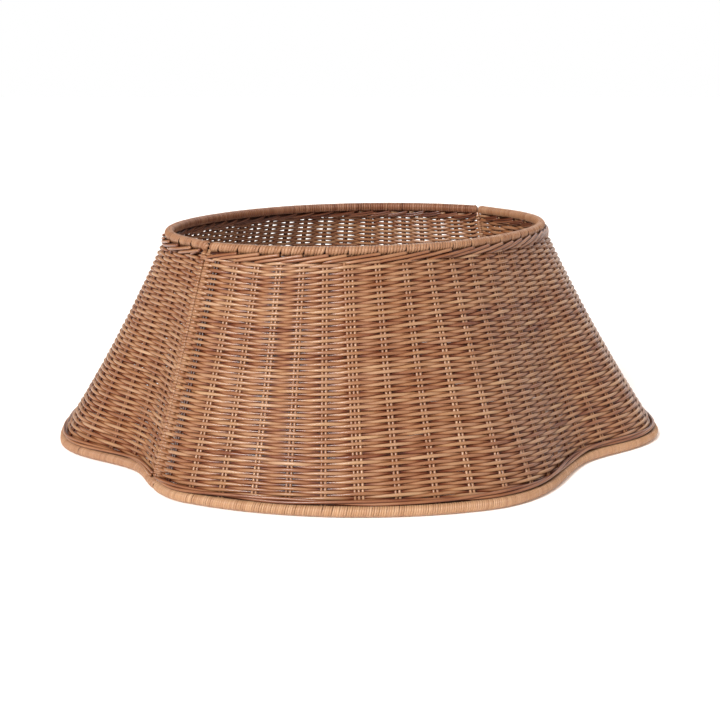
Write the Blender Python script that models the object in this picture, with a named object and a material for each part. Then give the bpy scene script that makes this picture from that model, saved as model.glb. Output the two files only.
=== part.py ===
"""A woven rattan collar that hides a Christmas tree's stand.

Two panels, each of two lobes, stand in a four-lobed ring that narrows upwards. A panel is a
randed wall woven over paired stakes, between a cane-bound rim at the top and one on the floor,
with border rods laid along both rims and a wrapped post at each end. The panels are tied
together at one seam, which works as a hinge, and meet loose at the other, where the ring opens.

Axes: the floor is z = 0, +Z is up, the front lobe points to -Y and the right one to +X. Plan
angles are in degrees from the front lobe's tip, positive towards the right lobe. Metres.
"""

import math

import bmesh
import bpy
from mathutils import Vector

# The ring in plan. Radii are those of the rims' centre lines.
BASE_RADIUS = 0.3296  # mean radius of the lobes at the floor
BASE_STRETCH = 0.0051  # how much further the front and back lobes reach, and less the side ones
MID_VALLEY = 0.0526  # depth of the valley in the middle of a panel, at the floor
MID_VALLEY_ANGLE = 54.6
MID_VALLEY_BEFORE = 34.5  # degrees over which the valley fades, on its two sides
MID_VALLEY_AFTER = 29.8
SEAM_VALLEY = 0.0393  # the valley beside each seam, on the side of a panel's last post
SEAM_VALLEY_ANGLE = -50.6
SEAM_VALLEY_BEFORE = 24.5
SEAM_VALLEY_AFTER = 21.9
TOP_RADIUS = 0.2090
TOP_STRETCH = 0.0222  # the top is an oval, longer towards the seams
TOP_STRETCH_ANGLE = -28.6
TOP_CORNER = 0.0074  # how far the top stands out in a blunt corner at each seam
TOP_CORNER_BEFORE = 10.0
TOP_CORNER_AFTER = 52.0

# Plan angles of the stakes that mark a panel, as (at the base rim, at the top rim).
SEAM_ANGLES = (-38.0, -38.0)  # the tied seam; the loose one is half a turn on
NEAR_ANGLES = (-33.9, -34.3)  # the first stake, which stands close beside the tied seam's post
TIP_ANGLES = (0.0, -3.0)
VALLEY_ANGLES = (42.5, 46.0)
SIDE_TIP_ANGLES = (92.5, 92.5)

# Stakes of a panel: one in each of these gaps' ends. The tips and the valley have triple ones.
BAYS_SEAM_TO_TIP = 7
BAYS_TIP_TO_VALLEY = 7
BAYS_VALLEY_TO_SIDE_TIP = 7
BAYS_SIDE_TIP_TO_SEAM = 7

# The wall between the rims.
HEIGHT = 0.2304
FLARE_SHARE = 0.14  # how far the wall bows in between the rims, as a share of its run
FLARE_FADE = 15.0  # degrees from a seam within which the wall straightens, as its post is straight
WEAVER = 0.0031  # thickness of a weaver
OVERLAY_SHARE = 0.45  # how much of a weaver lies over a stake: every second row passes outside it
STAKE_RADIUS = 0.0015
STAKE_CLEARANCE = 0.0003  # play of the weavers over the stakes

# The cane-bound rims, and the border rods along them.
RIM_RADIUS = 0.0055
WRAP_GROOVE_DEPTH = 0.0006
WRAP_GROOVE_WIDTH = 0.0022
TOP_GROOVE_EVERY = 1  # bays from one groove of the binding to the next
BASE_GROOVE_EVERY = 3
ROD_RADIUS = 0.0016
ROD_WAVE = 0.0005  # a border rod rises this much over two stakes out of three
BORDER_RODS = 2

# The end posts and the ties of the seam.
POST_RADIUS = 0.0024
POST_WRAP = 0.0012  # thickness of the weavers turned round a post
POST_GAP = 0.0008  # between the two wrapped posts of a seam
TIE_HEIGHT = 0.0036
TIE_THICKNESS = 0.0008
TIE_INSET = 0.0120  # from a rim's centre line to the tie next to it
RIM_END_GAP = 0.0007  # between the rims' round ends at a seam

CLEARANCE = 0.0003  # between pieces that touch
TIE_CLEARANCE = 0.0003  # of a tie round its posts

# Counts of facets.
RIM_SIDES = 8
ROD_SIDES = 5
POST_SIDES = 8
TIE_SIDES = 12
RIM_END_RINGS = 2
ROD_STEPS_PER_BAY = 2

TIPS_AND_VALLEY = (
    BAYS_SEAM_TO_TIP,
    BAYS_SEAM_TO_TIP + BAYS_TIP_TO_VALLEY,
    BAYS_SEAM_TO_TIP + BAYS_TIP_TO_VALLEY + BAYS_VALLEY_TO_SIDE_TIP,
)
BAYS = TIPS_AND_VALLEY[2] + BAYS_SIDE_TIP_TO_SEAM
POST_SPACING = 2 * (POST_RADIUS + POST_WRAP) + POST_GAP
FLAT_SHARE = math.cos(math.pi / RIM_SIDES)  # a rim's facet lies this share of its radius out
BASE_LEVEL = RIM_RADIUS * FLAT_SHARE
TOP_LEVEL = HEIGHT - RIM_RADIUS * FLAT_SHARE
SHARP_ANGLE = math.radians(50)  # edges up to this are shaded smooth
SMALL_STEP_SHARE = 0.02  # of a bay, to measure directions with

HONEY = (0.42, 0.21, 0.12, 1.0)
TAN = (0.48, 0.26, 0.15, 1.0)
BROWN = (0.36, 0.18, 0.10, 1.0)


def fade(angle, centre, before, after):
    """0 at a plan angle's centre, repeated each half turn, rising to 1 at its two widths."""
    away = (angle - centre + 90.0) % 180.0 - 90.0
    width = before if away < 0 else after
    return min(abs(away) / width, 1.0)


def valley(angle, centre, before, after):
    """1 at the middle of a rounded valley, easing to 0 at its two widths."""
    return math.cos(math.pi / 2 * fade(angle, centre, before, after)) ** 2


def base_radius(angle):
    mid = valley(angle, MID_VALLEY_ANGLE, MID_VALLEY_BEFORE, MID_VALLEY_AFTER)
    seam = valley(angle, SEAM_VALLEY_ANGLE, SEAM_VALLEY_BEFORE, SEAM_VALLEY_AFTER)
    radius = BASE_RADIUS + BASE_STRETCH * math.cos(math.radians(2 * angle))
    return radius - MID_VALLEY * mid - SEAM_VALLEY * seam


def top_radius(angle):
    stretch = math.cos(math.radians(2 * (angle - TOP_STRETCH_ANGLE)))
    corner = (1 - fade(angle, SEAM_ANGLES[1], TOP_CORNER_BEFORE, TOP_CORNER_AFTER)) ** 1.5
    return TOP_RADIUS + TOP_STRETCH * stretch + TOP_CORNER * corner


def wall_angle(bay, rim):
    """Plan angle of a place along a panel, in bays from its first post. rim is 0 base, 1 top."""
    marks = (
        (0, SEAM_ANGLES[rim]),
        (1, NEAR_ANGLES[rim]),
        (TIPS_AND_VALLEY[0], TIP_ANGLES[rim]),
        (TIPS_AND_VALLEY[1], VALLEY_ANGLES[rim]),
        (TIPS_AND_VALLEY[2], SIDE_TIP_ANGLES[rim]),
        (BAYS, SEAM_ANGLES[rim] + 180.0),
    )
    for (start, first), (end, last) in zip(marks, marks[1:]):
        if bay <= end or end == BAYS:
            return first + (last - first) * (bay - start) / (end - start)


def around(radius, angle, level):
    turn = math.radians(angle)
    return Vector((radius * math.sin(turn), -radius * math.cos(turn), level))


def wall_point(bay, share):
    """A point of the wall's middle surface. share is 0 at the base rim and 1 at the top rim."""
    low, high = wall_angle(bay, 0), wall_angle(bay, 1)
    straight = fade(low, SEAM_ANGLES[0], FLARE_FADE, FLARE_FADE)
    inward = share + FLARE_SHARE * straight * share * (1 - share)
    point = around(base_radius(low), low, 0.0).lerp(around(top_radius(high), high, 0.0), inward)
    point.z = BASE_LEVEL + (TOP_LEVEL - BASE_LEVEL) * share
    return point


def wall_axes(bay, share):
    """Unit vectors at a point of the wall: along the panel, up the wall, and out of it."""
    before = max(bay - SMALL_STEP_SHARE, 0)
    after = min(bay + SMALL_STEP_SHARE, BAYS)
    along = (wall_point(after, share) - wall_point(before, share)).normalized()
    up = (wall_point(bay, 1) - wall_point(bay, 0)).normalized()
    out = along.cross(up).normalized()
    return along, up, out


def wall_length(bay):
    return (wall_point(bay, 1) - wall_point(bay, 0)).length


def squareness(bay, share):
    """How near the wall's rise is to a right angle with a rim: 1 where it is, less beside a seam."""
    along, up, _ = wall_axes(bay, share)
    return math.sqrt(1 - along.dot(up) ** 2)


def share_at(level, bay, from_top=False):
    """The share of the wall's height that is at a length from a rim's centre line."""
    rise = level / (wall_length(bay) * squareness(bay, 1 if from_top else 0))
    return 1 - rise if from_top else rise


def place(bay, share, along=0.0, out=0.0, up=0.0):
    """A point at lengths along, out of and up the wall from its middle surface."""
    a, u, o = wall_axes(bay, share)
    return wall_point(bay, share) + a * along + o * out + u * up


def half_turn(points):
    return [Vector((-p.x, -p.y, p.z)) for p in points]


def loft(name, rings):
    """The mesh of a closed solid: its first ring, filled, is extruded through the others in turn."""
    bm = bmesh.new()
    cap = bm.faces.new([bm.verts.new(p) for p in rings[0]])
    for n, ring in enumerate(rings[1:]):
        made = bmesh.ops.extrude_face_region(bm, geom=[cap])["geom"]
        if n > 0:
            bm.faces.remove(cap)
        cap = next(part for part in made if isinstance(part, bmesh.types.BMFace))
        for vert, point in zip(cap.verts, ring):
            vert.co = point
    bmesh.ops.recalc_face_normals(bm, faces=bm.faces)
    mesh = bpy.data.meshes.new(name)
    bm.to_mesh(mesh)
    bm.free()
    mesh.shade_smooth()
    mesh.set_sharp_from_angle(angle=SHARP_ANGLE)
    mesh.materials.append(None)
    return mesh


def add(name, mesh, colour, pivot=None):
    """An object in its own material. With a pivot it is turned half round and hangs on the pivot."""
    made = bpy.data.objects.new(name, mesh)
    bpy.context.collection.objects.link(made)
    if pivot:
        made.parent = pivot
        made.location = -pivot.location
        made.rotation_euler.z = math.pi
    material = bpy.data.materials.new(name + "_rattan")
    material.use_nodes = True
    shader = material.node_tree.nodes["Principled BSDF"]
    shader.inputs["Base Color"].default_value = colour
    shader.inputs["Roughness"].default_value = 0.55
    shader.inputs["Metallic"].default_value = 0.0
    made.material_slots[0].link = "OBJECT"
    made.material_slots[0].material = material
    return made


def ring_round(centre, along, out, radius, sides):
    """Points round a centre, square to the direction along, with a facet facing down."""
    up = out.cross(along).normalized()
    side = along.cross(up).normalized()
    points = []
    for i in range(sides):
        turn = 2 * math.pi * (i + 0.5) / sides
        points.append(centre + side * (radius * math.sin(turn)) - up * (radius * math.cos(turn)))
    return points


def rim_stations(groove_every, start, end):
    """Places along a rim as (bay, length along, radius): its round ends and the binding's grooves."""
    stations = []
    for n in range(RIM_END_RINGS):
        back = math.pi / 2 * (1 - (n + 0.5) / RIM_END_RINGS)
        stations.append((0, start - RIM_RADIUS * math.sin(back), RIM_RADIUS * math.cos(back)))
    stations.append((0, start, RIM_RADIUS))
    for n in range(2, 2 * BAYS):  # the first bay is too short for one in its middle
        middle = n % 2
        if middle and (n // 2) % groove_every == 0:
            stations.append((n / 2, -WRAP_GROOVE_WIDTH / 2, RIM_RADIUS))
            stations.append((n / 2, 0.0, RIM_RADIUS - WRAP_GROOVE_DEPTH))
            stations.append((n / 2, WRAP_GROOVE_WIDTH / 2, RIM_RADIUS))
        else:
            stations.append((n / 2, 0.0, RIM_RADIUS))
    stations.append((BAYS, -end, RIM_RADIUS))
    for n in reversed(range(RIM_END_RINGS)):
        back = math.pi / 2 * (1 - (n + 0.5) / RIM_END_RINGS)
        stations.append((BAYS, RIM_RADIUS * math.sin(back) - end, RIM_RADIUS * math.cos(back)))
    return stations


def rim_rings(share, groove_every, start, end, on_floor):
    """Rings of a bound rim. The one on the floor has its underside at z = 0 all along."""
    rings = []
    for bay, shift, radius in rim_stations(groove_every, start, end):
        along = wall_axes(bay, share)[0]
        out = along.cross(Vector((0, 0, 1)))
        ring = ring_round(place(bay, share, along=shift), along, out, radius, RIM_SIDES)
        if on_floor:
            for i in (0, RIM_SIDES - 1):
                ring[i].z = 0.0
        rings.append(ring)
    return rings


def wall_start():
    """Length along a rim from a seam to the wall's edge, clear of the post and of a tie round it."""
    round_post = max(POST_WRAP, TIE_CLEARANCE + TIE_THICKNESS)
    return POST_SPACING / 2 + POST_RADIUS + round_post + CLEARANCE


def stake_columns():
    """Columns of the wall as (bay, length along, half thickness), with a rib over each stake."""
    thin = WEAVER / 2
    rib = STAKE_RADIUS + STAKE_CLEARANCE + WEAVER * OVERLAY_SHARE
    end = POST_RADIUS + POST_WRAP
    columns = [(0, wall_start(), end)]
    for stake in range(1, BAYS):
        rods = 3 if stake in TIPS_AND_VALLEY else 2
        reach = (rods - 1) * STAKE_RADIUS
        columns += [(stake, -reach, rib), (stake, reach, rib), (stake + 0.5, 0.0, thin)]
    columns.append((BAYS, -wall_start(), end))
    return columns


def border_band():
    """Length up from a rim's centre line that the border rods take."""
    return rod_level(BORDER_RODS - 1) + ROD_RADIUS + CLEARANCE


def rod_level(n):
    return RIM_RADIUS + CLEARANCE + ROD_RADIUS + n * (2 * ROD_RADIUS + CLEARANCE)


def rod_rest():
    """How far out of the wall's middle surface the wall's outside lies under the border rods."""
    return STAKE_RADIUS - CLEARANCE


def wall_rings():
    """The wall's section at each column: a lap for the border rods at both edges, full between."""
    rings = []
    for bay, shift, half in stake_columns():
        foot, head = (share_at(RIM_RADIUS + CLEARANCE, bay, top) for top in (False, True))
        low, high = (share_at(border_band(), bay, top) for top in (False, True))
        lap = min(half, rod_rest())
        outside = (
            (foot, lap),
            (low, lap),
            (low, half),
            (0.5, half),
            (high, half),
            (high, lap),
            (head, lap),
        )
        inside = ((head, -half), (0.5, -half), (foot, -half))
        rings.append([place(bay, s, along=shift, out=o) for s, o in outside + inside])
    return rings


def rod_rings(n, from_top):
    """Rings of one border rod, which rises a little over two stakes out of three."""
    rings = []
    for step in [0, *range(ROD_STEPS_PER_BAY, BAYS * ROD_STEPS_PER_BAY + 1)]:
        bay = step / ROD_STEPS_PER_BAY
        shift = wall_start() if step == 0 else -wall_start() if bay == BAYS else 0.0
        share = share_at(rod_level(n), bay, from_top)
        over = (math.floor(bay + 0.5) + n) % 3 != 0
        out = rod_rest() + CLEARANCE + ROD_RADIUS + CLEARANCE + (ROD_WAVE if over else 0.0)
        along, _, outward = wall_axes(bay, share)
        centre = place(bay, share, along=shift, out=out)
        rings.append(ring_round(centre, along, outward, ROD_RADIUS, ROD_SIDES))
    return rings


def post_line(bay, side):
    """A post's axis as its foot and head, on the rims' centre lines. side is 1 at a panel's start."""
    return [place(bay, share, along=side * POST_SPACING / 2) for share in (0, 1)]


def tie_spots(at_top):
    """A tie square across the tied posts: its axis, theirs, and how far up and where it meets them."""
    lines = [post_line(0, 1), half_turn(post_line(BAYS, -1))]
    rises = [(head - foot).normalized() for foot, head in lines]
    axis = (rises[0] + rises[1]).normalized()
    if at_top:
        near = [head - rise * TIE_INSET for (_, head), rise in zip(lines, rises)]
    else:
        near = [foot + rise * TIE_INSET for (foot, _), rise in zip(lines, rises)]
    level = axis.dot(near[0] + near[1]) / 2
    ups = [(level - foot.dot(axis)) / rise.dot(axis) for (foot, _), rise in zip(lines, rises)]
    centres = [foot + rise * up for (foot, _), rise, up in zip(lines, rises, ups)]
    return axis, rises, ups, centres


def post_rings(bay, side):
    """A post wrapped with weavers, bare where a tie can go round it."""
    foot, head = post_line(bay, side)
    length = (head - foot).length
    axis = (head - foot) / length
    out = wall_axes(bay, 0.5)[2]
    ends = []
    for share in (0, 1):
        slant = wall_axes(bay, share)[0].dot(axis)
        clear = RIM_RADIUS + CLEARANCE + POST_RADIUS * abs(slant)
        ends.append(clear / math.sqrt(1 - slant**2))
    bare = TIE_HEIGHT / 2 + CLEARANCE
    wrapped = POST_RADIUS + POST_WRAP
    low, high = (tie_spots(at_top)[2][0 if bay == 0 else 1] for at_top in (False, True))
    profile = (
        (ends[0], POST_RADIUS),
        (low + bare, POST_RADIUS),
        (low + bare, wrapped),
        (high - bare, wrapped),
        (high - bare, POST_RADIUS),
        (length - ends[1], POST_RADIUS),
    )
    return [ring_round(foot + axis * at, axis, out, r, POST_SIDES) for at, r in profile]


def prism(name, outline, axis, height):
    """The mesh of an outline made thick by height along an axis, half to each side."""
    low = [p - axis * (height / 2) for p in outline]
    high = [p + axis * (height / 2) for p in outline]
    return loft(name, [low, high])


def tie(name, at_top):
    """A cane tie: a band round both tied posts, with an eye for each. The back one turns in it."""
    axis, rises, _, centres = tie_spots(at_top)
    across = (centres[1] - centres[0]).normalized()
    out = across.cross(axis).normalized()
    eye = POST_RADIUS + TIE_CLEARANCE
    outline = []
    for centre, facing in zip(centres, (math.pi, 0.0)):
        for i in range(TIE_SIDES // 2 + 1):
            turn = facing - math.pi / 2 + math.pi * i / (TIE_SIDES // 2)
            ray = across * math.cos(turn) + out * math.sin(turn)
            outline.append(centre + ray * (eye + TIE_THICKNESS))
    band = add(name, prism(name, outline, axis, TIE_HEIGHT), TAN)
    for n, (centre, post) in enumerate(zip(centres, rises)):
        side = post.cross(out).normalized()
        circle = []
        for i in range(TIE_SIDES):
            turn = 2 * math.pi * i / TIE_SIDES
            ray = side * math.cos(turn) + side.cross(post) * math.sin(turn)
            circle.append(centre + ray * (eye / math.cos(math.pi / TIE_SIDES)))
        eye_name = f"{name}_eye_{n + 1}"
        cutter = add(eye_name, prism(eye_name, circle, post, 2 * TIE_HEIGHT), TAN)
        cutter.hide_render = True
        cutter.display_type = "WIRE"
        cut = band.modifiers.new("Eye", "BOOLEAN")
        cut.operation = "DIFFERENCE"
        cut.solver = "EXACT"
        cut.object = cutter


def panel_pieces():
    """A panel's pieces as their names, rings and colours."""
    rim_end = POST_SPACING / 2
    rim_start = 2 * RIM_RADIUS + RIM_END_GAP - rim_end
    pieces = [
        ("woven_wall", wall_rings(), HONEY),
        ("base_rim", rim_rings(0, BASE_GROOVE_EVERY, rim_start, rim_end, True), TAN),
        ("top_rim", rim_rings(1, TOP_GROOVE_EVERY, rim_start, rim_end, False), TAN),
        ("first_post", post_rings(0, 1), BROWN),
        ("last_post", post_rings(BAYS, -1), BROWN),
    ]
    for n in range(BORDER_RODS):
        pieces.append((f"base_border_rod_{n + 1}", rod_rings(n, False), BROWN))
        pieces.append((f"top_border_rod_{n + 1}", rod_rings(n, True), BROWN))
    return pieces


def main():
    for old in list(bpy.data.objects):
        bpy.data.objects.remove(old, do_unlink=True)

    # The back panel turns about its own last post, which is beside the front panel's first.
    foot, head = half_turn(post_line(BAYS, -1))
    axis = (head - foot).normalized()
    print("seam hinge at", tuple(round(v, 5) for v in foot), "along", tuple(round(v, 5) for v in axis))
    hinge = bpy.data.objects.new("seam_hinge", None)
    hinge.location = foot
    bpy.context.collection.objects.link(hinge)

    for piece, rings, colour in panel_pieces():
        mesh = loft(piece, rings)
        add(f"front_{piece}", mesh, colour)
        add(f"back_{piece}", mesh, colour, hinge)
    tie("seam_tie_base", False)
    tie("seam_tie_top", True)


main()
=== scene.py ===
"""A woven rattan collar that hides a Christmas tree's stand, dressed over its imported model.

Two panels stand in a four-lobed ring. Each is randed with round weavers over paired stakes,
between rims bound with cane, and has laid-down rods along both rims and a wrapped post at
each end. Places on a panel are given as (bay, share): bays are counted from its first post,
and share runs from 0 on the base rim's centre line to 1 on the top rim's. Metres, unless a
comment says otherwise.
"""

import math

import bpy
import numpy as np
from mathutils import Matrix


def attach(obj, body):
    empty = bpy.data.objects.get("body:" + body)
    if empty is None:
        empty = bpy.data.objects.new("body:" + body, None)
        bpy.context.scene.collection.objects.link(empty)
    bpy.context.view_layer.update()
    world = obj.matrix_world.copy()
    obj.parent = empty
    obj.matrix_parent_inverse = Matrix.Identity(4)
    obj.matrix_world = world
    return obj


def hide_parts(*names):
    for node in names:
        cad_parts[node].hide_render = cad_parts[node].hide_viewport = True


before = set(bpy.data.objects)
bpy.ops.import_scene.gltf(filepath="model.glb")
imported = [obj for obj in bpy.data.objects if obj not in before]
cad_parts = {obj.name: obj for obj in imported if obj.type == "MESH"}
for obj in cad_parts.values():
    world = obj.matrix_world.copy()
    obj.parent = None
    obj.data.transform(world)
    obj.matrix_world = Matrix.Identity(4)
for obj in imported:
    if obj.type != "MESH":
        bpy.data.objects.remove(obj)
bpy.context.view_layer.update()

MM = 0.001

# The ring in plan and the slant of its wall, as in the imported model. Angles are in degrees from
# the front, and the radii in plan in millimetres. A valley is given by its depth, its angle, and
# how far it fades before and after that angle.
HEIGHT = 230.4 * MM
RIM_OUTSIDE = 5.08 * MM  # from a rim's centre line to the outside of its binding
LEVELS = (RIM_OUTSIDE, HEIGHT - RIM_OUTSIDE)
BASE_RADIUS = 329.6
BASE_STRETCH = 5.1  # how much further the front and back lobes reach, and less the side ones
VALLEYS = ((52.6, 54.6, 34.5, 29.8), (39.3, -50.6, 24.5, 21.9))
TOP_RADIUS = 209.0
TOP_STRETCH = 22.2  # the top is an oval, longer towards the seams
TOP_STRETCH_ANGLE = 28.6
TOP_CORNER = 7.4  # how far the top stands out in a blunt corner at each seam
TOP_CORNER_FADES = (10.0, 52.0)
SEAM_ANGLE = -38.0
FLARE_SHARE = 0.14  # how far the wall bows in between the rims, as a share of its run
FLARE_FADE = 15.0  # degrees from a seam within which the wall straightens
BAYS = 28
MARKED_BAYS = (0, 1, 7, 14, 21, 28)  # a seam, the near stake, a tip, the valley, a tip, a seam
BASE_ANGLES = (-38.0, -33.9, 0.0, 42.5, 92.5, 142.0)
TOP_ANGLES = (-38.0, -34.3, -3.0, 46.0, 92.5, 142.0)
NEAR_STAKE = 1  # it stands close beside the first post
TRIPLE_STAKES = (7, 14, 21)

# The weave.
STAKE = 1.5 * MM  # radius of a stake's rod
WEAVER = 1.7 * MM  # radius of a weaver
WEAVE_DEPTH = 1.85 * MM  # how far a weaver's middle stands out over a stake
LEVEL_RUN = 1.2 * MM  # a weaver runs straight for this long on each side of a stake's middle
ROW = 0.01147  # rise from one row to the next, as a share of the wall's slant
ROWS = range(-2, 92)  # all rows that drift could bring between the rims
SHORTEST_RUN = 4  # places; a shorter piece of a cut row isn't laid
SWAYS = ((0.16, 7.3), (0.12, 3.1), (0.10, 1.7))  # each row strays this many mm, over so many bays
THICKNESS_WAVE = 5.7  # bays
FULLER = 0.03  # how much thicker a weaver looks where it goes over a stake
PAINTED_SHADE_WIDTH = 3.0 * MM  # a weaver's painted shade can deepen to its darkest within this of a stake
LEAST_PAINTED_LIT = 0.4  # how clear of painted shade a weaver stays at least beyond that
NEAR_STAKE_SHADE = -0.35  # the near stake stands in the dark of the first post's turns
# What differs between the panels, as one is seen from outside and the other from inside: the
# spacing of a stake's rods, how much thinner a weaver is behind a stake (below 0 it is thicker),
# how far it is pushed up there, and how much painted light the stakes are given: painted lighter,
# as a highlight, on the panel seen from outside, and darker, as painted shade (below 0), on the
# one seen from inside.
PANELS = {
    "front": {"seed": 11, "spacing": 3.6 * MM, "slim": -0.2, "lift": 0.55 * MM, "stake_painted_light": 0.24},
    "back": {"seed": 29, "spacing": 3.05 * MM, "slim": 0.1, "lift": 0.0, "stake_painted_light": -0.05},
}

# How far the rows have drifted up the wall, in mm, at shares 0.1, 0.5 and 0.9 of its slant.
DRIFT_BAYS = (0, 3.6, 5.9, 9.5, 12, 15.5, 18, 21, 23.5, 26.5, 28)
DRIFT = (
    (-4.8, 0.0, 0.5, 6.8, 3.4, -6.0, -3.0, 2.0, 1.0, -6.0, -6.0),
    (2.3, -1.0, 0.3, 7.4, 6.4, 1.6, 5.0, 8.0, 7.0, 3.0, 2.0),
    (2.3, -3.5, 0.7, 7.6, 9.2, 9.6, 11.0, 11.5, 11.5, 10.5, 9.5),
)
DRIFT_STEP = 0.125  # bays
DRIFT_SOFTENING = 10  # steps to each side

# The borders along the base and top rims: the rows end, and begin to be tucked in behind the
# border's rods, this near the rims' centre lines.
BORDERS = (6.3 * MM, 6.6 * MM)
TUCKS = (12.0 * MM, 12.5 * MM)
TUCK_RUN = 3.5 * MM
TUCK_IN = 1.0 * MM
# A top border rod's way from its stake to its cut end: bays ahead, mm below the rim's centre line
# and mm out of the wall's middle.
OUTSIDE_ROD = (
    (-0.1, 0.1, 0.3, 0.55, 0.85, 1.2, 1.5, 1.8, 2.05),
    (12.4, 11.9, 11.3, 10.6, 9.7, 8.6, 7.4, 6.3, 5.5),
    (0.2, 1.6, 2.7, 3.3, 3.7, 4.0, 4.2, 4.3, 4.3),
)
INSIDE_ROD = (
    (0.15, 0.0, -0.2, -0.5, -0.8, -1.05, -1.3),
    (12.6, 12.1, 11.4, 10.4, 9.2, 8.0, 7.0),
    (-0.6, -1.8, -2.9, -3.5, -3.6, -3.2, -2.2),
)
# A stake's rods in the top border: way, mm lower down the wall, and radius in mm.
TOP_RODS = ((OUTSIDE_ROD, 0.0, 1.75), (INSIDE_ROD, 0.0, 1.4), (INSIDE_ROD, -2.3, 1.4))
ROD_STEPS = 22
# The base border's pair of rods, twisted round each other, and the rod inside: mm above the rim's
# centre line, mm out of the wall's middle, and radius.
TWIST = 6.4  # bays for once round
TWIST_MIDDLE = (7.1, 3.5)
TWIST_SWING = (1.5, 1.2)
TWISTED_ROD = 1.65 * MM
BASE_INSIDE = (7.5, -2.4)
BASE_INSIDE_ROD = 1.8 * MM
DARK_CORE_RADIUS = 1.8 * MM  # radius of the soft core between a border's rods, painted dark as the shade there

# How a strand's shade waves along it: (wavelength in metres, depth).
SHADE_WAVES = ((0.31, 0.05), (0.12, 0.05), (0.045, 0.04))

# The rims: where each lies on the wall, and its cane's pitch, section (width, thickness and
# middle radius), unevenness in width, and lightness against most cane.
RIMS = {
    "base": {
        "share": 0, "pitch": 2.2 * MM, "section": (2.5 * MM, 0.46 * MM, RIM_OUTSIDE - 0.2 * MM),
        "uneven": 0.07, "light": 0.13,
    },
    "top": {
        "share": 1, "pitch": 3.1 * MM, "section": (3.5 * MM, 0.56 * MM, RIM_OUTSIDE - 0.25 * MM),
        "uneven": 0.10, "light": -0.04,
    },
}
RIM_STEPS = 24  # to a bay
RIM_LEAD = 20 * MM  # a rim's line runs straight on for this much past both ends
RIM_INSETS = (7.7 * MM, 4.0 * MM)  # from a panel's ends to the middles of the rim's rounded ends
POLE = RIM_OUTSIDE - 1.4 * MM
POLE_STEPS = 420
TURN_STEPS = 14
TURN_LEAN = 0.55  # mm along the rim, to each side, that a turn leans over
RIM_TURN = 0.0319  # length of one turn of cane
RIM_TURN_APART = 0.0331  # from where one turn's fibres begin to where the next one's do
ROUND_REACH = 0.88  # of a rim's radius: the outermost turns lie this far over a rounded end
NOTCH_TURNS = 2.8  # a notch beside a stake moves this many turns to each side
WIDE_NOTCHES_AFTER = 15  # bays; the rim curves away from there, with wider and higher notches
BACK_TOP_RED_SHADE = 0.3  # how much redder and darker, as painted shade, the back panel's top rim is, but for its last few bays

# The posts and the ties of the tied seam.
POST = 2.35 * MM
POST_OFFSET = 4.0 * MM  # of a post's axis from its seam
POST_NEAR = 4.0 * MM  # a weaver comes out to a post's turns over this much, before it
POST_LAP = 2.1 * MM  # how far out of a post's axis the middle of a weaver turned round it is
POST_OUTSIDE = 3.6 * MM  # from a post's axis to the outside of its turns
POST_TURN = (2.8 * MM, 2.2 * MM, POST_OUTSIDE - 1.1 * MM)  # section, as for a rim's cane
POST_TURN_LENGTH = 0.016
POST_TURN_APART = 0.017  # from where one turn's fibres begin to where the next one's do
POST_CLIMB = 0.8  # mm that a turn climbs on its way round
POST_BARE = 1.5 * MM  # a post has no turns this near to a rim's binding
POST_INSET = 3.0 * MM  # a post ends this far inside the rims' centre lines
TIE_INSET = 12.0 * MM  # from a rim's centre line
TIE_BARE = 3.2 * MM  # a post is bare of turns this far to each side of a tie
TIE_CANE = (1.7 * MM, 0.75 * MM)  # width and thickness
TIE_PITCH = 1.75 * MM
SIX_SIDED = 0.87  # a six-sided section's half width, where its corners reach out to 1


# ---- The wall's shape ----

def fade(angle, centre, before, after):
    """0 at a plan angle, repeated each half turn, rising to 1 at its two widths."""
    away = (angle - centre + 90.0) % 180.0 - 90.0
    return np.minimum(np.abs(away) / np.where(away < 0, before, after), 1.0)


def valley(angle, centre, before, after):
    return np.cos(math.pi / 2 * fade(angle, centre, before, after)) ** 2


def base_radius(angle):
    dips = sum(depth * valley(angle, *place) for depth, *place in VALLEYS)
    return (BASE_RADIUS + BASE_STRETCH * np.cos(np.radians(2 * angle)) - dips) * MM


def top_radius(angle):
    corner = (1 - fade(angle, SEAM_ANGLE, *TOP_CORNER_FADES)) ** 1.5
    oval = TOP_STRETCH * np.cos(np.radians(2 * (angle + TOP_STRETCH_ANGLE)))
    return (TOP_RADIUS + oval + TOP_CORNER * corner) * MM


def wall_point(bay, share):
    low = np.interp(bay, MARKED_BAYS, BASE_ANGLES)
    high = np.interp(bay, MARKED_BAYS, TOP_ANGLES)
    flare = FLARE_SHARE * fade(low, SEAM_ANGLE, FLARE_FADE, FLARE_FADE)
    inward = share + flare * share * (1 - share)
    foot, head = base_radius(low) * (1 - inward), top_radius(high) * inward
    low, high = np.radians(low), np.radians(high)
    x = foot * np.sin(low) + head * np.sin(high)
    y = -foot * np.cos(low) - head * np.cos(high)
    z = LEVELS[0] + (LEVELS[1] - LEVELS[0]) * (share + 0 * bay)
    return np.stack([x, y, z], -1)


def unit(vectors):
    return vectors / np.linalg.norm(vectors, axis=-1, keepdims=True)


def wall_axes(bay, share):
    """Unit vectors at a place on the wall: along the panel, up the wall, and out of it."""
    step = 0.02
    after, before = np.minimum(bay + step, BAYS), np.maximum(bay - step, 0)
    along = unit(wall_point(after, share) - wall_point(before, share))
    up = unit(wall_point(bay, share + step) - wall_point(bay, share - step))
    out = unit(np.cross(along, up))
    return along, np.cross(out, along), out


def slant(bay):
    """Length up the wall between the rims' centre lines."""
    return np.linalg.norm(wall_point(bay, 1.0 + 0 * bay) - wall_point(bay, 0.0 * bay), axis=-1)


def bay_width(bay, share):
    step = 0.05
    after, before = np.minimum(bay + step, BAYS), np.maximum(bay - step, 0)
    reach = wall_point(after, share) - wall_point(before, share)
    return np.linalg.norm(reach, axis=-1) / (after - before)


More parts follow.
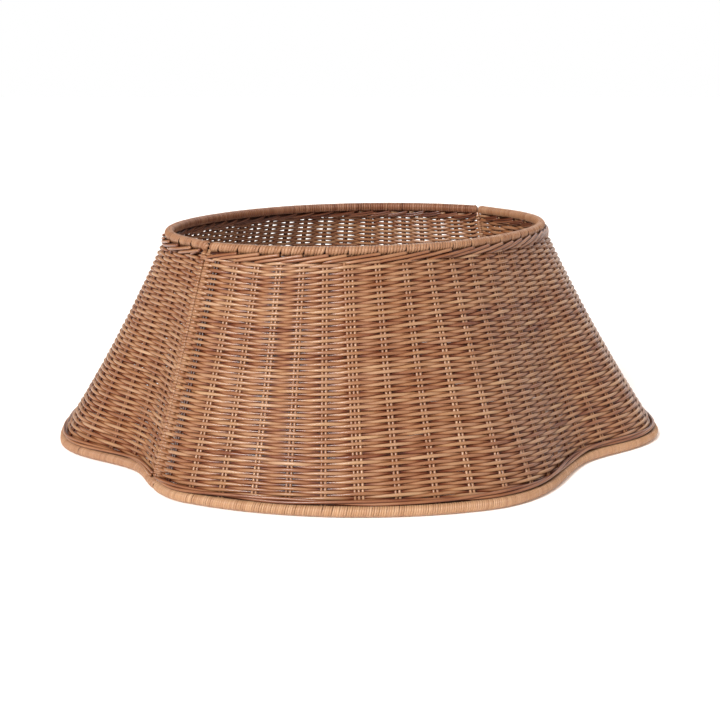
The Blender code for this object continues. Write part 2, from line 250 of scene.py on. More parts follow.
def on_wall(bay, share, along=0.0, out=0.0):
    """Points at lengths along and out of the wall from its middle surface, and the axes there."""
    axes = wall_axes(bay, share)
    shifted = wall_point(bay, share)
    shifted = shifted + axes[0] * np.expand_dims(along, -1) + axes[2] * np.expand_dims(out, -1)
    return shifted, axes


# ---- Laying strands and making pieces ----

def lengths_along(points):
    steps = np.linalg.norm(np.diff(points, axis=0), axis=1)
    return np.concatenate([[0], np.cumsum(steps)])


def shades(seed, length, spread=1.0):
    """How light and how pink a strand is along its length, both about 0.5."""
    chance = np.random.default_rng(seed)
    light, pink = chance.normal(0.5, 0.075 * spread, 2)
    for reach, depth in SHADE_WAVES:
        period = reach * chance.uniform(0.8, 1.25)
        turns = 2 * math.pi * (length / period + chance.random(2)[:, None])
        light = light + depth * spread * np.sin(turns[0])
        pink = pink + depth * spread * np.sin(turns[1])
    return np.clip(light, 0, 1), np.clip(pink, 0, 1)


def fibre_start(seed):
    """Where on the endless fibre pattern a strand begins, so that no two look the same."""
    return seed % 97 * 0.37


def strand(points, radius, outward, seed, sides=8, spread=1.0, out=None, least=None):
    """A round strand laid along points: its corners, faces, and its grain's lengths and shades.
    Where out is given, it says how far the strand's middle is out of the wall's, and the strand is
    painted in shade where its faces lie within the wall; least is how far it stays clear of that
    painted shade at least."""
    count = len(points)
    radius = np.broadcast_to(radius, (count,))
    course = unit(np.gradient(points, axis=0))
    face = unit(outward - course * np.sum(outward * course, -1, keepdims=True))
    rise = np.cross(course, face)
    turn = math.pi + 2 * math.pi * np.arange(sides) / sides
    ring = (
        np.cos(turn)[None, :, None] * face[:, None] + np.sin(turn)[None, :, None] * rise[:, None]
    )
    corners = (points[:, None] + ring * radius[:, None, None]).reshape(-1, 3)
    length = lengths_along(points)
    light, pink = shades(seed, length, spread)
    painted_lit = np.ones(count * sides)
    # Painted shade: the colour darkens on faces that lie within the wall, between neighbours.
    if out is not None:
        painted_lit = np.minimum(np.abs(out[:, None] + radius[:, None] * np.cos(turn)) / WEAVER, 1)
        if least is not None:
            painted_lit = least[:, None] + (1 - least[:, None]) * painted_lit
        painted_lit = painted_lit.ravel()

    station, side = np.meshgrid(np.arange(count - 1), np.arange(sides), indexing="ij")
    steps = ((0, 0), (0, 1), (1, 1), (1, 0))
    quads = np.stack([(station + a) * sides + (side + b) % sides for a, b in steps], -1)
    begin = fibre_start(seed)
    grain = np.stack([
        np.stack([
            length[station + a] + begin, (side + b) * radius.max() * 2 * math.pi / sides
        ], -1)
        for a, b in steps
    ], 2)
    caps = np.stack([np.arange(sides)[::-1], (count - 1) * sides + np.arange(sides)])
    cap_grain = np.full((2, sides, 2), begin)
    return {
        "corners": corners,
        "faces": [quads.reshape(-1, 4), caps],
        "grain": [grain.reshape(-1, 4, 2), cap_grain],
        "light": np.repeat(light, sides),
        "pink": np.repeat(pink, sides),
        "painted_lit": np.clip(painted_lit, 0, 1),
    }


def make_piece(name, strands, material, body, nodes=()):
    """One object of all these strands, riding on a body in place of its nodes."""
    loops, starts, grain, corner_count, loop_count = [], [], [], 0, 0
    for part in strands:
        for faces, lengths in zip(part["faces"], part["grain"]):
            loops.append((faces + corner_count).ravel())
            starts.append(loop_count + np.arange(len(faces)) * faces.shape[1])
            grain.append(lengths.reshape(-1, 2))
            loop_count += faces.size
        corner_count += len(part["corners"])
    mesh = bpy.data.meshes.new(name)
    mesh.vertices.add(corner_count)
    mesh.vertices.foreach_set("co", np.concatenate([p["corners"] for p in strands]).ravel())
    mesh.loops.add(loop_count)
    mesh.loops.foreach_set("vertex_index", np.concatenate(loops).astype(np.int32))
    mesh.polygons.add(sum(len(s) for s in starts))
    mesh.polygons.foreach_set("loop_start", np.concatenate(starts).astype(np.int32))
    mesh.update(calc_edges=True)
    mesh.uv_layers.new(name="grain").data.foreach_set("uv", np.concatenate(grain).ravel())
    for shade in ("light", "pink", "painted_lit"):
        values = np.concatenate([p[shade] for p in strands]).astype(np.float32)
        mesh.attributes.new(shade, "FLOAT", "POINT").data.foreach_set("value", values)
    mesh.validate()
    mesh.shade_smooth()
    mesh.materials.append(material)
    piece = bpy.data.objects.new(name, mesh)
    bpy.context.scene.collection.objects.link(piece)
    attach(piece, body)
    if nodes:
        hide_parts(*nodes)
    return piece


def half_turned(strands):
    """The same strands for the back panel, half a turn round the ring."""
    for part in strands:
        part["corners"] = part["corners"] * np.array([-1.0, -1.0, 1.0])
    return strands


# ---- Weavers and stakes ----

def drift(bay, share):
    """How far a row has drifted up the wall from a level one, as a length."""
    fine = np.arange(0, BAYS + 0.01, DRIFT_STEP)
    soft = np.hanning(2 * DRIFT_SOFTENING + 1)
    soft /= soft.sum()
    at = []
    for values in DRIFT:
        flat = np.pad(np.interp(fine, DRIFT_BAYS, values), DRIFT_SOFTENING, mode="edge")
        at.append(np.interp(bay, fine, np.convolve(flat, soft, "valid")))
    lower = np.clip((share - 0.1) / 0.4, -0.2, 1)
    upper = np.clip((share - 0.5) / 0.4, 0, 1.2)
    return (at[0] + (at[1] - at[0]) * lower + (at[2] - at[1]) * upper) * MM


def weaver_bays(first, last, lap_first, lap_last):
    """Places along a row where its weaver is set out: closer over the stakes than between them,
    and over the half turn round each post, whose axes are at first and last."""
    within = np.array([0.0, 0.10, 0.22, 0.36, 0.5, 0.64, 0.78, 0.90])
    bays = (np.arange(BAYS)[:, None] + within).ravel()
    bays = bays[(bays > first + 0.05) & (bays < last - 0.05)]
    turn = np.array([0.98, 0.85, 0.55, 0.0])
    return np.concatenate([first - lap_first * turn, bays, last + lap_last * turn[::-1]])


def over_and_under(bay, first, last, share):
    """1 where a weaver passes outside a stake and -1 where it passes inside, smooth between."""
    phase = np.where(bay < 1, np.maximum(bay - first, 0) / (1 - first), bay)
    phase = np.where(bay > BAYS - 1, BAYS - 1 + (bay - BAYS + 1) / (last - BAYS + 1), phase)
    phase = np.minimum(phase, BAYS - 1e-6)
    stake = np.floor(phase)
    part = phase - stake
    flat = LEVEL_RUN / bay_width(bay, share)
    part = np.clip((part - flat) / (1 - 2 * flat), 0, 1)
    return np.cos(math.pi * part) * np.where(stake % 2 == 0, 1, -1)


def drawn_together(bay, last):
    """How far neighbouring rows are drawn together by twos, in mm, as a weaver comes back from
    each post in the next row: most just before the near stake, and less at the last post."""
    by_near_stake = np.clip(1 - np.abs(bay - 0.6) / 0.9, 0, 1) * 0.6
    by_last_post = np.clip((bay - last + 0.8) / 0.8, 0, 1) * 0.35
    return by_near_stake + by_last_post


def rows(panel):
    """A panel's weavers, row by row, as (strand, share of the wall that it is about)."""
    chance = np.random.default_rng(panel["seed"])
    laid = []
    for row in ROWS:
        share = (row + 0.5) * ROW
        widths = [float(bay_width(np.array(end), share)) for end in (0.0, float(BAYS))]
        first, last = POST_OFFSET / widths[0], BAYS - POST_OFFSET / widths[1]
        bay = weaver_bays(first, last, POST_LAP / widths[0], POST_LAP / widths[1])
        long = slant(bay)
        way = 1 if row % 2 else -1
        sway = sum(
            far * np.sin(2 * math.pi * (bay / bays + chance.random())) for far, bays in SWAYS
        )
        over = over_and_under(bay, first, last, share) * way
        up = share * long + drift(bay, share) + (sway + drawn_together(bay, last) * way) * MM
        up = up + panel["lift"] * np.clip(-over, 0, 1)
        # Close to a post it comes out to the post's turns, and it goes half round the post.
        past = np.maximum((first - bay) * widths[0], (bay - last) * widths[1]) / POST_LAP
        over = over * np.sqrt(1 - np.clip(past, 0, 1) ** 2)
        beside = np.clip(2 + past * POST_LAP / POST_NEAR, 0, 1) * (POST_LAP - WEAVE_DEPTH)
        near_base = np.clip((TUCKS[0] - up) / TUCK_RUN, 0, 1)
        near_top = np.clip((TUCKS[1] - long + up) / TUCK_RUN, 0, 1)
        tuck = np.maximum(near_base, near_top)
        out = over * (WEAVE_DEPTH + beside) * (1 - 0.5 * tuck) - TUCK_IN * tuck
        wave = np.sin(2 * math.pi * (bay / THICKNESS_WAVE + chance.random()))
        thick = WEAVER * (1 + 0.04 * wave + 0.03 * chance.normal())
        thick = thick * (1 + np.where(over > 0, FULLER, panel["slim"]) * over * (1 - tuck))
        # Painted shade: a weaver is painted darkest where it lies within the wall beside the
        # stakes.
        stake = np.round(bay)
        half = np.where(np.isin(stake, TRIPLE_STAKES), 1.0, 0.5) * panel["spacing"] + STAKE
        clear = np.abs(bay - stake) * bay_width(bay, share) - half
        least = LEAST_PAINTED_LIT * np.clip(clear / PAINTED_SHADE_WIDTH, 0, 1)
        # A row is cut where it would run into a rim's border, and is picked up beyond it.
        shown = (up > BORDERS[0]) & (long - up > BORDERS[1])
        edges = np.flatnonzero(np.diff(np.concatenate([[0], shown.astype(int), [0]])))
        for begin, end in zip(edges[::2], edges[1::2]):
            if end - begin < SHORTEST_RUN:
                continue
            run = slice(begin, end)
            points, axes = on_wall(bay[run], up[run] / long[run], out=out[run])
            own_seed = panel["seed"] * 1000 + row * 7 + begin
            part = strand(points, thick[run], axes[2], own_seed, out=out[run], least=least[run])
            laid.append((part, share))
    return laid


def stakes(panel, seed):
    """Every stake's rods, side by side, from rim to rim."""
    laid = []
    share = np.linspace(0.0, 1.0, 15)
    for stake in range(1, BAYS):
        rods = 3 if stake in TRIPLE_STAKES else 2
        for rod in range(rods):
            beside = (rod - (rods - 1) / 2) * panel["spacing"]
            bay = np.full(share.shape, float(stake))
            points, axes = on_wall(bay, share, along=np.full(share.shape, beside))
            own_seed = seed * 1000 + stake * 5 + rod
            # Its flanks are painted in shade, where it lies between its neighbours.
            part = strand(points, STAKE, axes[2], own_seed, spread=0.8, out=0 * share)
            # Painted light and shade: stakes lighter seen from outside, darker seen from inside.
            stake_painted_light = panel["stake_painted_light"] if stake > NEAR_STAKE else NEAR_STAKE_SHADE
            part["light"] = part["light"] + stake_painted_light
            laid.append(part)
    return laid


# ---- Rims bound with cane ----

def rim_line(share):
    """A rim's centre line: lengths along it, its points there, and each bay's length along it."""
    bay = np.linspace(0, BAYS, BAYS * RIM_STEPS + 1)
    points = wall_point(bay, np.full(bay.shape, float(share)))
    length = lengths_along(points)
    before = points[0] + unit(points[0] - points[1]) * RIM_LEAD
    after = points[-1] + unit(points[-1] - points[-2]) * RIM_LEAD
    lengths = np.concatenate([[-RIM_LEAD], length, [length[-1] + RIM_LEAD]])
    return lengths, np.vstack([before, points, after]), length[::RIM_STEPS]


def along_line(line, length):
    """Points on a rim's centre line with its directions along, out and up."""
    def at(where):
        return np.stack([np.interp(where, line[0], line[1][:, i]) for i in range(3)], -1)
    reach = 1.5 * MM
    course = unit(at(length + reach) - at(length - reach))
    out = unit(np.cross(course, np.array([0.0, 0.0, 1.0])))
    return at(length), course, out, np.cross(out, course)


def rounded(length, first, last):
    """A rim's share of its full radius, which falls off past the middles of its rounded ends."""
    past = np.maximum(0, np.maximum(first - length, length - last)) / RIM_OUTSIDE
    return np.sqrt(np.maximum(1 - past ** 2, 0.05))


def one_turn(name, section, pitch):
    """One turn of a binding, modelled about the X axis: its six-sided section swept round by a
    screw. section is its width, thickness and middle radius."""
    width, thick, radius = section
    bpy.ops.object.select_all(action="DESELECT")
    bpy.ops.mesh.primitive_circle_add(vertices=6, radius=1, fill_type="NGON")
    turn = bpy.context.active_object
    turn.name = name
    bpy.ops.object.mode_set(mode="EDIT")
    bpy.ops.mesh.select_all(action="SELECT")
    bpy.ops.transform.resize(value=(width / 2, thick / 2, 1))
    bpy.ops.transform.translate(value=(0, radius, 0))
    bpy.ops.mesh.delete(type="ONLY_FACE")
    bpy.ops.object.mode_set(mode="OBJECT")
    screw = turn.modifiers.new("Turn", "SCREW")
    screw.axis = "X"
    screw.angle = 2 * math.pi
    screw.screw_offset = pitch
    screw.steps = screw.render_steps = TURN_STEPS
    screw.use_merge_vertices = False
    bpy.ops.object.modifier_apply(modifier="Turn")
    bpy.ops.object.mode_set(mode="EDIT")
    bpy.ops.mesh.select_all(action="SELECT")
    bpy.ops.mesh.fill_holes(sides=0)
    bpy.ops.mesh.select_all(action="SELECT")
    bpy.ops.mesh.normals_make_consistent(inside=False)
    bpy.ops.object.mode_set(mode="OBJECT")
    corners = np.array([v.co for v in turn.data.vertices])
    faces = [list(f.vertices) for f in turn.data.polygons]
    bpy.data.objects.remove(turn)
    # The seam of the angle lies where the turn begins and ends, so its ends are told apart.
    part = (np.arctan2(corners[:, 2], corners[:, 1]) / (2 * math.pi)) % 1.0
    part = np.where((part < 0.02) & (corners[:, 0] > pitch / 2), 1.0, part)
    part = np.where((part > 0.98) & (corners[:, 0] < pitch / 2), 0.0, part)
    return {
        "part": part,  # of the turn, from 0 to 1
        "across": corners[:, 0] - pitch * part,
        "radius": np.hypot(corners[:, 1], corners[:, 2]),
        "quads": np.array([f for f in faces if len(f) == 4]),
        "others": [f for f in faces if len(f) != 4],
    }


def wound(template, corners, light, pink, begin, turn_length):
    """A copy of a turn bent to its corners, in the form that make_piece takes. begin is where its
    fibres begin on the pattern. A turn's edges are painted darker than its crown, as the shade
    between turns."""
    lengths = np.stack([begin + template["part"] * turn_length, template["across"]], -1)
    faces = [template["quads"]] + [np.array([face]) for face in template["others"]]
    faces = [group for group in faces if len(group)]
    count = len(corners)
    height = template["radius"] - template["radius"].min()
    return {
        "corners": corners,
        "faces": faces,
        "grain": [lengths[group] for group in faces],
        "light": light + np.zeros(count),
        "pink": pink + np.zeros(count),
        # Painted shade on a turn's edges, where it meets the next turns.
        "painted_lit": 0.3 + 0.7 * height / np.ptp(template["radius"]),
    }


def notch(near, away, drawn, top):
    """How far a turn of cane is pushed along a rim's underside, where a stake comes up between two
    turns, and the power with which that fades up the rim. near is the stake and away how many
    turns it is off."""
    push, fades = 0.0, 1.9 if near <= WIDE_NOTCHES_AFTER else 1.1
    if 0 < near < BAYS and (top or drawn > 0.6):
        deep = (1.8 + 0.8 * drawn) * (1 + 0.6 * (near > WIDE_NOTCHES_AFTER)) if top else 0.65
        push = np.sign(away) * max(0.0, 1 - abs(away) / NOTCH_TURNS) * deep * MM
    if drawn > 0.8:  # a few notches open across the whole face, but narrowly
        return 0.25 * push, 0.4
    return push, fades


def bound_rim(rim, cane, back_top, seed):
    """The turns of cane round a rim and the pole inside them. On the back panel's top rim the cane
    is painted redder and darker, as shade, and is drawn round the rim's ends in a loop."""
    line = rim_line(rim["share"])
    starts = line[2]
    first, last = RIM_INSETS[0], starts[-1] - RIM_INSETS[1]
    reach = ROUND_REACH * RIM_OUTSIDE
    count = int(round((last - first + 2 * reach) / rim["pitch"]))
    even = (last - first + 2 * reach) / count
    chance = np.random.default_rng(seed)
    top = rim["share"] == 1
    angle = (math.pi / 2 if top else -math.pi / 2) + cane["part"] * 2 * math.pi
    notched = (1 - np.sin(angle)) / 2 if top else (1 + np.sin(angle)) / 2
    notched = notched * np.clip(0.6 + 0.6 * np.cos(angle), 0, 1)  # less inside the ring
    drawn = chance.random(BAYS + 1)
    turns = []
    for k in range(count):
        middle = first - reach + (k + 0.5) * even
        near = np.argmin(np.abs(starts - middle))
        push, fades = notch(near, (middle - starts[near]) / even, drawn[near], top)
        wide = 1 + rim["uneven"] * chance.normal()
        length = first - reach + (k + cane["part"]) * even + cane["across"] * wide
        length = length + np.sin(angle) * TURN_LEAN * MM
        length = length + push * notched ** fades + 0.10 * MM * chance.normal() * notched
        sunk = 0.16 * MM * chance.random()
        radius = (cane["radius"] - sunk) * rounded(length, first, last)
        centre, _, out, up = along_line(line, length)
        corners = centre + (np.cos(angle) * radius)[:, None] * out
        corners = corners + (np.sin(angle) * radius)[:, None] * up
        light, pink = shades(seed, np.array([k * 2 * math.pi * RIM_OUTSIDE]), 0.6)
        # Painted shade: the back panel's top rim, seen from inside the ring, is painted redder and
        # darker.
        red = BACK_TOP_RED_SHADE * back_top * min(1.0, max(0.0, (BAYS - 3.5 - near) / 6))
        light = np.clip(light + rim["light"] + 0.05 * chance.normal() - 0.6 * red, 0, 1)
        pink = np.clip(pink + 0.06 * chance.normal() + red, 0, 1)
        turns.append(wound(cane, corners, light, pink, k * RIM_TURN_APART, RIM_TURN))
    if back_top:
        turns += [end_loop(line, (first, last), way, seed + 9) for way in (-1, 1)]
    return turns, [pole(line, first, last, seed + 5)]


def pole(line, first, last, seed):
    """The pole inside a rim's binding, rounded at both ends and painted dark all over, as the
    shade in the notches where it shows.
    """
    ease = np.sin(np.linspace(0.15, math.pi / 2, 5))
    ends = POLE * np.sqrt(1 - ease[:-1] ** 2)
    length = np.concatenate([
        first - POLE * ease[:-1][::-1],
        np.linspace(first, last, POLE_STEPS),
        last + POLE * ease[:-1],
    ])
    sizes = np.concatenate([ends[::-1], np.full(POLE_STEPS, POLE), ends])
    points, _, out, _ = along_line(line, length)
    rod = strand(points, sizes, out, seed, sides=10)
    # Painted shade: the pole shows only in the notches, so it is painted at its darkest.
    rod["painted_lit"][:] = 0.0
    return rod


def end_loop(line, ends, way, seed):
    """Cane drawn over a rim's rounded end in a loop: the first end for way -1, the last for 1."""
    swing = np.linspace(-1, 1, 15)
    length = ends[way > 0] + way * (2.6 * np.abs(swing) ** 2.5 - 0.2) * MM
    angle = np.radians(32 - 78 * swing)
    radius = (RIM_OUTSIDE - 0.05 * MM) * rounded(length, *ends)
    centre, _, out, up = along_line(line, length)
    facing = np.cos(angle)[:, None] * out + np.sin(angle)[:, None] * up
    return strand(centre + radius[:, None] * facing, 0.65 * MM, facing, seed, sides=6)


# ---- Rods laid down along the rims ----

def border_rod(bay, rise, out, radius, seed, from_top):
    """A rod laid along a rim: rise is from the rim's centre line, out from the wall's middle."""
    long = slant(bay)
    share = 1 - rise / long if from_top else rise / long
    points, axes = on_wall(bay, share, out=out)
    # Painted shade on the rod's flanks, where it lies between its neighbours.
    return strand(points, radius, axes[2], seed, out=0 * rise)


def dark_core_for_shade(rise, from_top, seed):
    """A soft core laid close under a rim, between the border's rods, which stops the light. It is
    painted at its darkest, as the shade under the rim.
    """
    bay = np.linspace(0.28, BAYS - 0.18, BAYS * 8)
    core = border_rod(bay, np.full(bay.shape, rise), 0 * bay, DARK_CORE_RADIUS, seed, from_top)
    # Painted shade: the core is painted at its darkest, as the shade under the rim.
    core["painted_lit"][:] = 0.0
    return core


def top_border(seed):
    """Each stake's rods, bent over past the next stakes to their cut ends under the rim: one
    outside, and a shorter pair inside that lies the other way, painted darker and redder as the
    shade inside the ring."""
    laid = [dark_core_for_shade(6.3 * MM, True, seed)]
    chance = np.random.default_rng(seed)
    for stake in range(0, BAYS + 1):
        for way, lower, thick in TOP_RODS:
            outside = way is OUTSIDE_ROD
            ahead, rise, out = (np.array(values) for values in way)
            room = BAYS - 0.25 - stake if outside else stake - 0.25
            shortened = min(1.0, max(room, 0.3) / abs(ahead[-1]))
            bay = stake + ahead * chance.uniform(0.94, 1.06) * shortened
            rise = rise + lower + 0.3 * chance.normal()
            fits = (bay > 0.27) & (bay < BAYS - 0.2)
            if fits.sum() < 3:
                continue
            knots = np.linspace(0, 1, fits.sum())
            fine = np.linspace(0, 1, ROD_STEPS)
            bay, rise, out = (np.interp(fine, knots, values[fits]) for values in (bay, rise, out))
            thick = thick * chance.uniform(0.95, 1.07)
            own_seed = seed * 100 + stake * 3 + len(laid) % 3
            rod = border_rod(bay, rise * MM, out * MM, thick * MM, own_seed, True)
            if outside:
                rod["light"] = rod["light"] - 0.02
            else:
                # Painted shade: the inside rods are painted darker and redder, as the shade inside
                # the ring.
                rod["light"] = rod["light"] * 0.75
                rod["pink"] = rod["pink"] * 0.6 + 0.4
            laid.append(rod)
    return laid


def base_border(seed):
    """Two long rods twisted slowly round each other along the base rim, and one inside."""
    laid = [dark_core_for_shade(6.4 * MM, False, seed + 5)]
    bay = np.linspace(0.3, BAYS - 0.2, BAYS * 10)
    for rod in range(2):
        turn = 2 * math.pi * bay / TWIST + math.pi * rod
        stray = 0.25 * np.sin(2 * math.pi * bay / 2.7 + rod)
        rise = TWIST_MIDDLE[0] + TWIST_SWING[0] * np.sin(turn) + stray
        out = TWIST_MIDDLE[1] + TWIST_SWING[1] * np.cos(turn)
        laid.append(border_rod(bay, rise * MM, out * MM, TWISTED_ROD, seed + rod, False))
    rise = BASE_INSIDE[0] + 0.5 * np.sin(2 * math.pi * bay / 5.1)
    out = np.full(bay.shape, BASE_INSIDE[1] * MM)
    laid.append(border_rod(bay, rise * MM, out, BASE_INSIDE_ROD, seed + 3, False))
    return laid


# ---- Posts and ties ----

def post_axis(at_end):
    """A post's foot and head, and how far out of it the wall faces."""
    bay = np.array(float(BAYS if at_end else 0))
    shift = np.array(-POST_OFFSET if at_end else POST_OFFSET)
    ends = [on_wall(bay, np.array(float(share)), along=shift)[0] for share in (0, 1)]
    return ends[0], ends[1], wall_axes(bay, np.array(0.5))[2]


def bound_post(at_end, turn, seed):
    """A post and the turns that each row's weaver takes round it, left bare under the ties."""
    foot, head, outward = post_axis(at_end)
    long = np.linalg.norm(head - foot)
    axis = (head - foot) / long
    out = unit(outward - axis * np.dot(outward, axis))
    side = np.cross(axis, out)
    reach = np.linspace(POST_INSET, long - POST_INSET, 12)
    outwards = np.tile(out, (len(reach), 1))
    rod = strand(foot + axis * reach[:, None], POST, outwards, seed, sides=10)
    chance = np.random.default_rng(seed)
    aside = POST_OFFSET / float(bay_width(np.array(float(BAYS if at_end else 0)), 0.5))
    bay = np.array(BAYS - aside if at_end else aside)
    turns = []
    for row in ROWS:
        share = (row + 0.5) * ROW
        up = float(share * long + drift(bay, share))
        if not RIM_OUTSIDE + POST_BARE < up < long - RIM_OUTSIDE - POST_BARE:
            continue
        if min(abs(up - TIE_INSET), abs(long - up - TIE_INSET)) < TIE_BARE:
            continue
        angle = turn["part"] * 2 * math.pi + math.pi + chance.uniform(-0.2, 0.2)
        climb = up + turn["across"] + (turn["part"] - 0.5) * POST_CLIMB * MM
        radius = turn["radius"] * (1 + 0.03 * chance.normal())
        corners = foot + axis * climb[:, None] + (np.cos(angle) * radius)[:, None] * out
        corners = corners - (np.sin(angle) * radius)[:, None] * side
        light, pink = shades(seed * 50 + row, np.array([0.0]), 0.8)
        turns.append(wound(turn, corners, light, pink, row * POST_TURN_APART, POST_TURN_LENGTH))
    return [rod] + turns


def tie(at_top, seed):
    """Two turns of cane round both posts of the tied seam."""
    posts = []
    for at_end in (False, True):
        foot, head, outward = post_axis(at_end)
        if at_end:
            foot, head, outward = (p * np.array([-1.0, -1.0, 1.0]) for p in (foot, head, outward))
        posts.append((foot, head, outward))
    rises = [unit(head - foot) for foot, head, _ in posts]
    axis = unit(rises[0] + rises[1])
    ends = [
        (head - rise * TIE_INSET) if at_top else (foot + rise * TIE_INSET)
        for (foot, head, _), rise in zip(posts, rises)
    ]
    level = np.dot(axis, ends[0] + ends[1]) / 2
    centres = [
        foot + rise * (level - np.dot(foot, axis)) / np.dot(rise, axis)
        for (foot, _, _), rise in zip(posts, rises)
    ]
    across = unit(centres[1] - centres[0])
    out = unit(np.cross(across, axis))
    if np.dot(out, posts[0][2]) < 0:
        out = -out
    middle = (centres[0] + centres[1]) / 2
    laid = []
    for turn in range(2):
        path = []
        for centre, facing in ((centres[0], math.pi), (centres[1], 0.0)):
            for part in np.linspace(-math.pi / 2, math.pi / 2, 9):
                angle = facing + part
                toward = across * math.cos(angle) + out * math.sin(angle)
                path.append(centre + toward * (POST + TIE_CANE[1]))
        path.append(path[0])
        path = np.array(path) + axis * ((turn - 0.5) * TIE_PITCH)
        laid.append(flat_cane(path, unit(path - middle), axis, *TIE_CANE, seed + turn))
    return laid


def flat_cane(path, facing, axis, width, thick, seed):
    """A strip of cane laid along a path with its flat face outwards: a six-sided strand 1 across
    that is given the cane's section and the grain that goes with it."""
    part = strand(path, 0.5, facing, seed, sides=6)
    course = unit(np.gradient(path, axis=0))
    face = unit(np.cross(course, axis))
    face = face * np.sign(np.sum(face * facing, -1, keepdims=True))
    turn = math.pi + 2 * math.pi * np.arange(6) / 6
    rise = np.cross(course, face)
    through = (np.cos(turn) * thick / 2)[None, :, None] * face[:, None]
    across = (np.sin(turn) * width / 2 / SIX_SIDED)[None, :, None] * rise[:, None]
    part["corners"] = (path[:, None] + (through + across)).reshape(-1, 3)
    part["grain"][0][..., 1] *= width
    return part


# ---- Materials ----

def linear(code):
    """An sRGB hex colour as the linear colour that a socket takes."""
    values = [int(code[i:i + 2], 16) / 255 for i in (1, 3, 5)]
    flat = [v / 12.92 if v <= 0.04045 else ((v + 0.055) / 1.055) ** 2.4 for v in values]
    return (*flat, 1.0)


def add_node(tree, kind, inputs=(), **settings):
    """A node with its settings, and its inputs set to values or linked to other nodes' outputs."""
    node = tree.nodes.new(kind)
    for name, value in settings.items():
        setattr(node, name, value)
    for socket, value in dict(inputs).items():
        if isinstance(value, bpy.types.NodeSocket):
            tree.links.new(value, node.inputs[socket])
        else:
            node.inputs[socket].default_value = value
    return node


def maths(tree, operation, *values, clamp=False):
    inputs = dict(enumerate(values))
    node = add_node(tree, "ShaderNodeMath", inputs, operation=operation, use_clamp=clamp)
    return node.outputs[0]


def noise(tree, grain, scale, **settings):
    """A noise over the strands' own lengths, stretched by a scale along and a scale across."""
    inputs = {"Vector": grain, "Scale": (*scale, 1.0)}
    place = add_node(tree, "ShaderNodeMapping", inputs).outputs[0]
    return add_node(tree, "ShaderNodeTexNoise", {"Vector": place, "Scale": 1.0, **settings})


def ramp(tree, shade, colours):
    node = add_node(tree, "ShaderNodeValToRGB", {"Fac": shade})
    node.color_ramp.elements[0].color = linear(colours[0])
    node.color_ramp.elements[1].color = linear(colours[-1])
    for n, colour in enumerate(colours[1:-1], 1):
        node.color_ramp.elements.new(n / (len(colours) - 1)).color = linear(colour)
    return node.outputs["Color"]


def rattan(name, yellow, pinkish, streak, rough, coat, painted_shade_depth):
    """Rattan in a clear satin lacquer. Its colours run from dark to light along each of two hues,
    with fibres as fine streaks along the strand. streak is a fibre bundle's (length, width), and
    the last argument is how much darker a strand is painted where it lies in shade, within the
    wall or between strands."""
    material = bpy.data.materials.new(name)
    material.use_nodes = True
    tree = material.node_tree
    tree.nodes.clear()
    grain = add_node(tree, "ShaderNodeUVMap", uv_map="grain").outputs["UV"]
    light, pink, painted_lit = (
        add_node(tree, "ShaderNodeAttribute", attribute_name=shade).outputs["Fac"]
        for shade in ("light", "pink", "painted_lit")
    )
    fibres = noise(tree, grain, (1 / streak[0], 1 / streak[1]), Detail=3.0, Roughness=0.6)
    patches = noise(tree, grain, (28.0, 300.0), Detail=2.0)
    fibres, patches = fibres.outputs["Fac"], patches.outputs["Fac"]
    shade = maths(tree, "MULTIPLY_ADD", fibres, 0.4, light)
    shade = maths(tree, "MULTIPLY_ADD", patches, 0.3, shade)
    # Painted shade: darker where a strand lies within the wall or between its neighbours.
    shade = maths(tree, "MULTIPLY_ADD", painted_lit, painted_shade_depth, shade)
    shade = maths(tree, "SUBTRACT", shade, 0.35 + 0.8 * painted_shade_depth, clamp=True)
    hue = maths(tree, "MULTIPLY_ADD", patches, 0.6, pink)
    hue = maths(tree, "SUBTRACT", hue, 0.4, clamp=True)
    hues = {0: hue, 6: ramp(tree, shade, yellow), 7: ramp(tree, shade, pinkish)}
    colour = add_node(tree, "ShaderNodeMix", hues, data_type="RGBA").outputs[2]
    dullness = {"Value": fibres, "To Min": rough[0], "To Max": rough[1]}
    dullness = add_node(tree, "ShaderNodeMapRange", dullness).outputs["Result"]
    ridges = {"Strength": 0.35, "Distance": 0.00015, "Height": fibres}
    ridges = add_node(tree, "ShaderNodeBump", ridges).outputs["Normal"]
    shader = add_node(tree, "ShaderNodeBsdfPrincipled", {
        "Base Color": colour,
        "Roughness": dullness,
        "Normal": ridges,
        "IOR": 1.5,
        "Specular IOR Level": 0.32,
        "Coat Weight": coat,
        "Coat Roughness": 0.17,
    })
    add_node(tree, "ShaderNodeOutputMaterial", {"Surface": shader.outputs["BSDF"]})
    return material


def lit_table():
    """The studio's white table, lit from below so that shadows stay pale: matt, barely mottled."""
    material = bpy.data.materials.new("white_acrylic_table_lit_from_below")
    material.use_nodes = True
    tree = material.node_tree
    tree.nodes.clear()
    place = add_node(tree, "ShaderNodeTexCoord").outputs["Object"]
    mottle = add_node(tree, "ShaderNodeTexNoise", {"Vector": place, "Scale": 3.0}).outputs["Fac"]
    whites = {0: mottle, 6: linear("#FBFBFB"), 7: linear("#FEFEFE")}
    shader = add_node(tree, "ShaderNodeBsdfPrincipled", {
        "Base Color": add_node(tree, "ShaderNodeMix", whites, data_type="RGBA").outputs[2],
        "Roughness": 0.95,
        "Specular IOR Level": 0.1,
        "Emission Color": linear("#FFDCC4"),
        "Emission Strength": 0.15,
    })
    add_node(tree, "ShaderNodeOutputMaterial", {"Surface": shader.outputs["BSDF"]})
    return material


# ---- The collar ----

